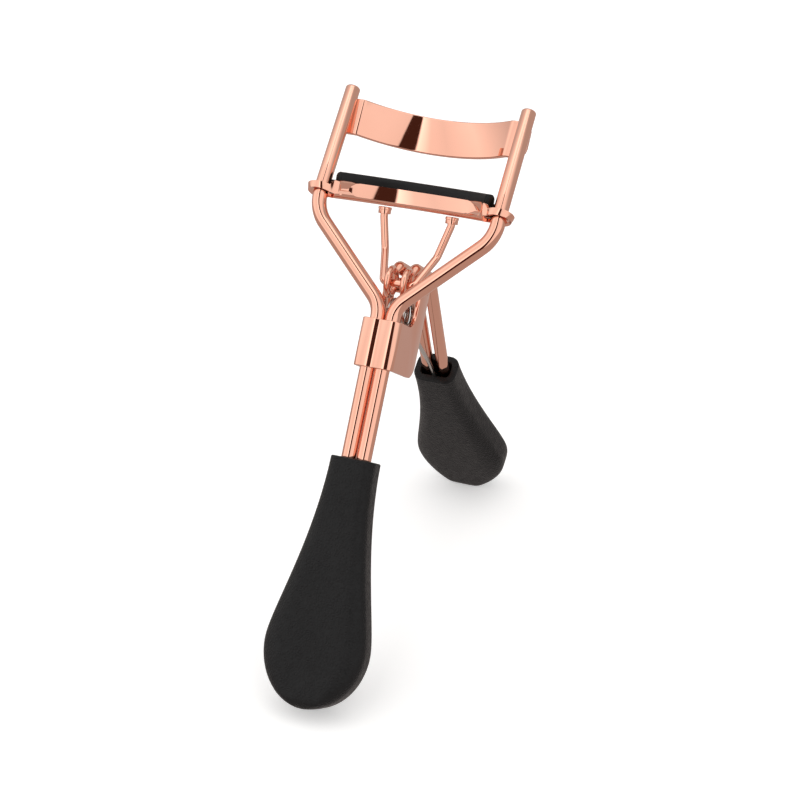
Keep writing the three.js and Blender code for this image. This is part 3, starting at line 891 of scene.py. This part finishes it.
class CURLER_OT_ferrule(bpy.types.Operator):
    """Wrap the ferrule's sheet round the rods, cut its ears and set the rivet"""

    bl_idname = "curler.ferrule"
    bl_label = "Ferrule and Rivet"

    def execute(self, context):
        sheet = size("ferrule_sheet")
        rod = size("rod_radius")
        radius = rod + FERRULE_ROOM + sheet / 2
        side = 2 * rod + ROD_PAIR_GAP / 2 + FERRULE_ROOM + sheet / 2
        middle = (FERRULE_TOP + FERRULE_BOTTOM) / 2
        tall = FERRULE_TOP - FERRULE_BOTTOM
        start = Vector((0, VALLEY - radius, 0))
        at = start + Vector((VALLEY_HALF / 2, 0, middle))
        obj = flat_section(at, Vector((1, 0, 0)), Vector((0, 0, 1)), VALLEY_HALF, tall)
        pick(obj, "EDGE", lambda e: all(v.co.x > 0.75 * VALLEY_HALF for v in e.verts))
        at = self.press(start + Vector((VALLEY_HALF, 0, 0)), side)
        pull((0, EAR_START - at.y, 0))
        pull((0, HORN_FRONT - EAR_START, 0))
        pull((0, EAR_REACH - HORN_FRONT, 0))
        pick(
            obj,
            "EDGE",
            lambda e: all(v.co.y > HORN_FRONT - 0.01 and v.co.z > FERRULE_TOP - 0.01 for v in e.verts),
        )
        pull((0, 0, HORN_TOP - FERRULE_TOP))
        pick(obj, "FACE", lambda f: all(v.co.y > EAR_START - 0.01 for v in f.verts))
        bpy.ops.mesh.dissolve_faces()
        for y, z, offset, steps in (
            (EAR_REACH, FERRULE_BOTTOM, EAR_CORNER, 8),
            (EAR_REACH, HORN_TOP, HORN_REAR_CORNER, 8),
            (HORN_FRONT, HORN_TOP, HORN_FRONT_CORNER, 6),
            (HORN_FRONT, FERRULE_TOP, EAR_SCOOP, 10),
        ):
            pick(obj, "VERT", lambda v: abs(v.co.y - y) < 0.01 and abs(v.co.z - z) < 0.01)
            bpy.ops.mesh.bevel(offset=offset, segments=steps, affect="VERTICES")
        bpy.ops.object.mode_set(mode="OBJECT")
        mirrored(obj)
        wall(obj, sheet, FERRULE_EDGE)
        fit(obj, "ferrule_folded", HANDLE, rose_plating(), "frame", ["ferrule"])
        half = side + sheet / 2 + RIVET_PROUD
        pin = round_section(PIVOT - Vector((half, 0, 0)), Vector((1, 0, 0)), RIVET_RADIUS, 28)
        shank = 2 * (half - RIVET_HEAD)
        steps = ((RIVET_HEAD, RIVET_NECK), (shank, 1.0), (0.0, 1.0 / RIVET_NECK), (RIVET_HEAD, 1.0))
        for step, factor in steps:
            pull((step, 0, 0))
            swell((1, factor, factor), PIVOT)
        soften_ends(pin, 0.1)
        tidy(pin)
        fit(pin, "pivot_rivet", HANDLE, rose_plating(), "frame", ["pivot_pin"])
        return {"FINISHED"}

    def press(self, at, side):
        """Rolls the front from the valley over one rod and round to the ear; returns where it ends."""
        heading = 0.0
        for turn, radius in FERRULE_ROLLS:
            turn = rad(turn)
            if radius is None:
                radius = (side - at.x) / (math.sin(heading + turn) - math.sin(heading))
            hand = math.copysign(1, turn)
            centre = at + Vector((-math.sin(heading), math.cos(heading), 0)) * radius * hand
            wind(centre, Vector((0, 0, 1)), turn, max(4, round(abs(turn) / rad(5))))
            at = centre + Matrix.Rotation(turn, 3, "Z") @ (at - centre)
            heading += turn
        return at


# ---------------------------------------------------------------- lever

LEVER_GAP = 1.5
NOSE = Vector((0, 3.7, 74.1))
NOSE_RADIUS = 2.3
LEVER_ELBOW = 15.6
LEVER_BENDS = (4.5, 12.0)
SLEEVE_RADIUS = 1.35
SLEEVE_WALL = 0.45
SLEEVE_LENGTH = 4.6
SLEEVE_ROOM = 0.25
LEVER_FRONT = 6.9
LEVER_RUN_IN = 1.0
LEVER_END_ROUNDING = 0.16
LOOP_TURN = rad(348)
CURL_STEPS = 58
# How far each step of the front end goes forward and down, and what it leaves of the width.
SWAGE = ((0.35, 0.05, 0.96), (0.35, 0.2, 0.86), (0.35, 0.3, 0.8), (0.3, 0.32, 0.78), (0.28, 0.32, 0.8))


class CURLER_OT_lever(bpy.types.Operator):
    """Bend the lever's two rods with their nose loops, and cut the sleeve on the pin"""

    bl_idname = "curler.lever"
    bl_label = "Lever"

    def execute(self, context):
        radius = size("lever_rod_radius")
        grip = size("grip_length")
        x = -LEVER_GAP
        over = PIVOT.z + SLEEVE_RADIUS + radius + SLEEVE_ROOM

        def along(s):
            return PIVOT + ARM_DOWN * (LEVER_LENGTH - s) + Vector((x, 0, 0))

        points = [
            Vector((x, LEVER_FRONT, over)),
            Vector((x, LEVER_ELBOW, over)),
            along(grip + LEVER_RUN_IN),
            along(grip - ROD_DEPTH),
        ]
        rod = round_section(points[-1], (points[-2] - points[-1]).normalized(), radius, 28)
        follow(points[::-1], LEVER_BENDS[::-1], rad(4))
        self.nose(points[0])
        soften_ends(rod, LEVER_END_ROUNDING)
        tidy(rod)
        right = copy_across(rod, "lever_twin")
        fit(rod, "lever_rod_plated_left", HANDLE, rose_plating(), "lever", ["left_lever_rod"])
        fit(
            right, "lever_rod_plated_right", HANDLE, rose_plating(),
            "lever", ["right_lever_rod"],
        )
        wire_radius = size("loop_wire")
        start = Vector((x, NOSE.y, NOSE.z + NOSE_RADIUS))
        loop = round_section(start, Vector((0, -1, 0)), wire_radius, 16)
        wind(Vector((x, NOSE.y, NOSE.z)), Vector((1, 0, 0)), LOOP_TURN, CURL_STEPS)
        soften_ends(loop, 0.12)
        tidy(loop)
        twin = copy_across(loop, "loop_twin")
        fit(
            loop, "nose_loop_curled_left", HANDLE, rose_plating(),
            "lever", ["left_nose_loop"],
        )
        fit(
            twin, "nose_loop_curled_right", HANDLE, rose_plating(),
            "lever", ["right_nose_loop"],
        )
        at = PIVOT - Vector((SLEEVE_LENGTH / 2, 0, 0))
        sleeve = round_section(at, Vector((1, 0, 0)), SLEEVE_RADIUS, 32, "NOTHING")
        pull((SLEEVE_LENGTH, 0, 0))
        tidy(sleeve)
        wall(sleeve, SLEEVE_WALL, 0.1, -1.0)
        fit(sleeve, "pivot_sleeve_cut", HANDLE, rose_plating(), "lever", ["pivot_sleeve"])
        return {"FINISHED"}

    def nose(self, at):
        """Draws the rod's front end down to the loop in a short swage."""
        for ahead, down, factor in SWAGE:
            step = Vector((0, -ahead, -down))
            pull(step)
            at = at + step
            swell((factor, factor, factor), at)


COIL = Vector((0, 8.2, 69.5))
COIL_RADIUS = 2.1
COIL_TURNS = 4
COIL_STEPS = 20
COIL_GAP = 0.05
LEG_OFFSET = 1.1
LEG_IN_GRIP = 12
SPRING_ROOM = 0.25


class CURLER_OT_spring(bpy.types.Operator):
    """Wind the torsion spring between the ears and run its leg into the rear grip"""

    bl_idname = "curler.spring"
    bl_label = "Torsion Spring"

    def execute(self, context):
        radius = size("spring_wire")
        width = (2 * radius + COIL_GAP) * COIL_TURNS
        count = round((COIL_TURNS - 0.25) * COIL_STEPS)
        points = [Vector((-width / 2, size("rod_radius") + radius + SPRING_ROOM, COIL.z - COIL_RADIUS))]
        for i in range(count + 1):
            a = -math.pi - 2 * math.pi * i / COIL_STEPS
            x = -width / 2 + width * i / count
            points.append(Vector((x, COIL.y + COIL_RADIUS * math.cos(a), COIL.z + COIL_RADIUS * math.sin(a))))
        off = Vector((0, -math.cos(ARM_ANGLE), -math.sin(ARM_ANGLE))) * LEG_OFFSET
        mouth = LEVER_LENGTH - size("grip_length")
        leg = [PIVOT + ARM_DOWN * run + off for run in (mouth - 1, mouth + LEG_IN_GRIP)]
        points += leg
        obj = round_section(points[0], (points[1] - points[0]).normalized(), radius, 12)
        radii = []
        for a, b, c in zip(points, points[1:], points[2:]):
            shortest = min((b - a).length, (c - b).length)
            half = (a - b).angle(c - b) / 2
            radii.append(0.42 * shortest * math.tan(half))
        follow(points, radii, rad(12))
        soften_ends(obj, 0.1)
        tidy(obj)
        fit(obj, "torsion_spring_wound", HANDLE, spring_steel(), None, ["torsion_spring"])
        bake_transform(obj)
        return {"FINISHED"}


# ---------------------------------------------------------------- grips

BULB_HEIGHT = 10.5
GRIP_THICKNESS = 8.3
NECK_THICKNESS = 6.0
GRIP_EDGE = 1.9
NECK_RUN = 14.8
BULB_RUN = 4.5
SOCKET_ROOM = 0.3
NECK_LIP = 0.25
SOCKET_INSET = 1.0
GRIP_CORNER = 2.0
RIM_ROUNDING = 0.4
BODY_RINGS = 30


def grip_half_width(z, tall, neck, bulb):
    """Half-width of the grip's outline at height z."""
    if z <= BULB_HEIGHT:
        return bulb * math.sqrt(max(0.0, 1 - ((BULB_HEIGHT - z) / BULB_HEIGHT) ** 2))
    heights = (tall, tall - NECK_RUN, BULB_HEIGHT + BULB_RUN, BULB_HEIGHT)
    widths = (neck, neck, bulb, bulb)

    def curve(values, t):
        a, b, c, d = values
        u = 1 - t
        return u**3 * a + 3 * u * u * t * b + 3 * u * t * t * c + t**3 * d

    low, high = 0.0, 1.0
    for _ in range(40):
        t = (low + high) / 2
        if curve(heights, t) > z:
            low = t
        else:
            high = t
    return curve(widths, low)


class CURLER_OT_grips(bpy.types.Operator):
    """Mould the two paddle-shaped grips over the ends of the handle and the lever"""

    bl_idname = "curler.grips"
    bl_label = "Grips"

    def execute(self, context):
        room = size("rod_radius") + SOCKET_ROOM / 2
        front = self.grip(rod_pair() + room, room)
        fit(
            front, "front_grip_moulded", HANDLE, grip_skin(),
            "frame", ["front_grip"], rad(75),
        )
        room = size("lever_rod_radius") + SOCKET_ROOM / 2
        rear = self.grip(LEVER_GAP + room, room + SOCKET_ROOM)
        fit(
            rear, "rear_grip_moulded", LEVER_ARM, grip_skin(),
            "lever", ["rear_grip"], rad(75),
        )
        return {"FINISHED"}

    def grip(self, socket_x, socket_y):
        tall = size("grip_length")
        neck = size("grip_neck")
        bulb = size("grip_half_width")

        def section(z):
            width = grip_half_width(z, tall, neck, bulb)
            depth = GRIP_THICKNESS / 2 + (NECK_THICKNESS - GRIP_THICKNESS) / 2 * z / tall
            if z < GRIP_EDGE:
                depth -= GRIP_EDGE - math.sqrt(GRIP_EDGE**2 - (GRIP_EDGE - z) ** 2)
            return width, depth

        top = tall - NECK_LIP
        heights = [top - i * (top - BULB_HEIGHT) / BODY_RINGS for i in range(BODY_RINGS + 1)]
        heights += [BULB_HEIGHT * (1 - math.sin(rad(a))) for a in range(4, 81, 4)]
        heights += [BULB_HEIGHT * (1 - math.sin(rad(a))) for a in (82.5, 84.5, 86, 87.2, 88.2, 89)]
        width, depth = section(heights[0])
        at = Vector((0, 0, heights[0]))
        obj = flat_section(at, Vector((1, 0, 0)), Vector((0, 1, 0)), 2 * width, 2 * depth)
        bpy.ops.mesh.bevel(offset=GRIP_CORNER, segments=7, affect="VERTICES")
        bpy.ops.mesh.select_all(action="SELECT")
        for height in heights[1:]:
            pull((0, 0, height - at.z))
            at.z = height
            new_width, new_depth = section(height)
            swell((new_width / width, new_depth / depth, 1), at)
            width, depth = new_width, new_depth
        pick(obj, "FACE", lambda f: len(f.verts) > 4 and f.calc_center_median().z > tall - 1)
        self.socket(tall, socket_x, socket_y)
        tidy(obj)
        modify(obj, "BEVEL", width=RIM_ROUNDING, segments=2, limit_method="ANGLE", angle_limit=rad(60))
        modify(obj, "SUBSURF", levels=1, render_levels=1)
        return obj

    def socket(self, tall, socket_x, socket_y):
        """Raises the neck's end, then sinks the slot that the rods enter."""
        top = Vector((0, 0, tall))
        pull((0, 0, NECK_LIP))
        bpy.ops.mesh.inset(thickness=SOCKET_INSET, use_even_offset=True)
        mesh = bmesh.from_edit_mesh(bpy.context.object.data)
        ring = [v.co for v in mesh.verts if v.select]
        swell((socket_x / max(p.x for p in ring), socket_y / max(p.y for p in ring), 1), top)
        pull((0, 0, -ROD_DEPTH - SOCKET_ROOM))


# ---------------------------------------------------------------- stage


CAMERA_SWING = rad(19.85)
CAMERA_RISE = rad(27.14)
CAMERA_ROLL = rad(1.39)
CAMERA_TARGET = Vector((0, -0.0040665, 0.041455))
CAMERA_DISTANCE = 0.32962
LENS = 83.85705
LENS_SHIFT = (0.0086875, -0.0033875)
DARKEST_WALL = 0.2
# Brightness of the tent's wall by direction, from behind, round by the left, the front and the right.
TENT = (
    (0.0, 0.5),
    (0.12, 0.6),
    (0.24, 1.25),
    (0.34, 1.05),
    (0.4, 1.15),
    (0.447, 1.9),
    (0.452, 0.05),
    (0.508, 0.05),
    (0.513, 1.05),
    (0.58, 1.1),
    (0.66, 1.1),
    (0.73, 0.5),
    (0.82, 0.5),
    (0.9, 0.6),
    (1.0, 0.5),
)
WALL_TINT = (1, 0.985, 0.97)
OPENING_TINT = (1.2, 0.5, 0.35)
FLOOR_SPAN = 6
LAMP_PLACE = (0, 0.1, 1.1)
LAMP_AIM = (0, 0, 0.05)
LAMP_SPAN = (0.9, 0.9)
LAMP_WATTS = 1.2


def camera():
    """A long lens from the front right, a little above the head."""
    swing, rise, roll = CAMERA_SWING, CAMERA_RISE, CAMERA_ROLL
    out = Vector((math.sin(swing) * math.cos(rise), -math.cos(swing) * math.cos(rise), math.sin(rise)))
    right = (-out).cross(Vector((0, 0, 1))).normalized()
    up = right.cross(-out)
    right_rolled = right * math.cos(roll) + up * math.sin(roll)
    up_rolled = up * math.cos(roll) - right * math.sin(roll)
    bpy.ops.object.camera_add()
    cam = bpy.context.object
    turn = Matrix((right_rolled, up_rolled, out)).transposed().to_4x4()
    cam.matrix_world = Matrix.Translation(CAMERA_TARGET + out * CAMERA_DISTANCE) @ turn
    cam.data.sensor_width = 36
    cam.data.lens = LENS
    cam.data.shift_x, cam.data.shift_y = LENS_SHIFT
    cam.data.clip_start = 0.01
    cam.name = "stage_camera"
    bpy.context.scene.camera = cam


def surroundings():
    """White tent round the curler, with one narrow dark opening in front and dimmer walls behind."""
    world = bpy.data.worlds.new("Studio Tent")
    bpy.context.scene.world = world
    world.use_nodes = True
    tree = world.node_tree
    tree.nodes.clear()
    n = Nodes(tree)
    place = n.add("ShaderNodeTexCoord")
    turn = n.add("ShaderNodeVectorRotate", {"Angle": -CAMERA_SWING}, rotation_type="Z_AXIS")
    n.join(place.outputs["Generated"], turn.inputs["Vector"])
    split = n.add("ShaderNodeSeparateXYZ")
    n.join(turn.outputs["Vector"], split.inputs["Vector"])
    flip = n.add("ShaderNodeMath", {1: -1.0}, operation="MULTIPLY")
    n.join(split.outputs["Y"], flip.inputs[0])
    around = n.add("ShaderNodeMath", operation="ARCTAN2")
    n.join(split.outputs["X"], around.inputs[0])
    n.join(flip.outputs["Value"], around.inputs[1])
    share = n.add("ShaderNodeMapRange", {"From Min": -math.pi, "From Max": math.pi})
    n.join(around.outputs["Value"], share.inputs["Value"])
    ramp = n.add("ShaderNodeValToRGB")
    ramp.color_ramp.elements[0].position = TENT[0][0]
    ramp.color_ramp.elements[1].position = TENT[-1][0]
    for position, _ in TENT[1:-1]:
        ramp.color_ramp.elements.new(position)
    for element, (_, level) in zip(ramp.color_ramp.elements, TENT):
        warm = WALL_TINT if level > DARKEST_WALL else OPENING_TINT
        element.color = (*(level * part for part in warm), 1)
    n.join(share.outputs["Result"], ramp.inputs["Fac"])
    sky = n.add("ShaderNodeBackground", {"Strength": 1.0})
    n.join(ramp.outputs["Color"], sky.inputs["Color"])
    out = n.add("ShaderNodeOutputWorld")
    n.join(sky.outputs["Background"], out.inputs["Surface"])


def lamp(name, place, aim, span, watts):
    bpy.ops.object.light_add(type="AREA", location=place)
    light = bpy.context.object
    light.name = name
    light.data.shape = "RECTANGLE"
    light.data.size, light.data.size_y = span
    light.data.energy = watts
    light.rotation_euler = (Vector(aim) - Vector(place)).to_track_quat("-Z", "Y").to_euler()


class CURLER_OT_stage(bpy.types.Operator):
    """Lay the floor and set the soft lights and the camera"""

    bl_idname = "curler.stage"
    bl_label = "Stage"

    def execute(self, context):
        clear_selection()
        camera()
        surroundings()
        lamp("soft_top", LAMP_PLACE, LAMP_AIM, LAMP_SPAN, LAMP_WATTS)
        clear_selection()
        bpy.ops.mesh.primitive_plane_add(size=FLOOR_SPAN, location=(0, 0, 0))
        floor = bpy.context.object
        settle(floor)
        floor.name = "floor"
        floor.data.materials.append(self.paper())
        view = context.scene.view_settings
        view.view_transform = "Standard"
        view.look = "None"
        return {"FINISHED"}

    def paper(self):
        material = bpy.data.materials.new("Floor Paper")
        material.use_nodes = True
        tree = material.node_tree
        tree.nodes.clear()
        n = Nodes(tree)
        out = n.add("ShaderNodeOutputMaterial")
        sheet = n.add(
            "ShaderNodeBsdfPrincipled",
            {
                "Base Color": tint("floor"),
                "Roughness": 0.85,
                "Specular IOR Level": 0.1,
                "Emission Color": (1, 1, 1, 1),
                "Emission Strength": 0.36,
            },
        )
        # Painted reflection: glossy rays see this dim warm emission instead of the white paper, so the floor
        # mirrored in the metal looks darker and warmer than the floor itself.
        painted_reflection = n.add("ShaderNodeEmission", {"Color": (0.62, 0.55, 0.52, 1), "Strength": 0.8})
        path = n.add("ShaderNodeLightPath")
        mix = n.add("ShaderNodeMixShader")
        n.join(path.outputs["Is Glossy Ray"], mix.inputs["Fac"])
        n.join(sheet.outputs["BSDF"], mix.inputs[1])
        n.join(painted_reflection.outputs["Emission"], mix.inputs[2])
        n.join(mix.outputs["Shader"], out.inputs["Surface"])
        return material


# ---------------------------------------------------------------- panel and registration

STEPS = (
    CURLER_OT_frame_rods,
    CURLER_OT_upper_jaw,
    CURLER_OT_lower_jaw,
    CURLER_OT_pad,
    CURLER_OT_yoke,
    CURLER_OT_ferrule,
    CURLER_OT_lever,
    CURLER_OT_spring,
    CURLER_OT_grips,
    CURLER_OT_stage,
)


class CURLER_PT_pieces(bpy.types.Panel):
    """Sizes, colours and the steps that build the curler"""

    bl_idname = "CURLER_PT_pieces"
    bl_label = "Eyelash Curler"
    bl_space_type = "VIEW_3D"
    bl_region_type = "UI"
    bl_category = "Curler"

    def draw(self, context):
        layout = self.layout
        for group in (context.scene.curler_sizes, context.scene.curler_colours):
            box = layout.box()
            for key in group.__annotations__:
                box.prop(group, key)
        for step in STEPS:
            layout.operator(step.bl_idname)


CLASSES = (CurlerSizes, CurlerColours, *STEPS, CURLER_PT_pieces)


def register():
    for cls in CLASSES:
        bpy.utils.register_class(cls)
    bpy.types.Scene.curler_sizes = bpy.props.PointerProperty(type=CurlerSizes)
    bpy.types.Scene.curler_colours = bpy.props.PointerProperty(type=CurlerColours)


def unregister():
    del bpy.types.Scene.curler_colours
    del bpy.types.Scene.curler_sizes
    for cls in reversed(CLASSES):
        bpy.utils.unregister_class(cls)


def main():
    register()
    bpy.ops.curler.frame_rods()
    bpy.ops.curler.upper_jaw()
    bpy.ops.curler.lower_jaw()
    bpy.ops.curler.pad()
    bpy.ops.curler.yoke()
    bpy.ops.curler.ferrule()
    bpy.ops.curler.lever()
    bpy.ops.curler.spring()
    bpy.ops.curler.grips()
    bpy.ops.curler.stage()
    clear_selection()


if __name__ == "__main__":
    main()
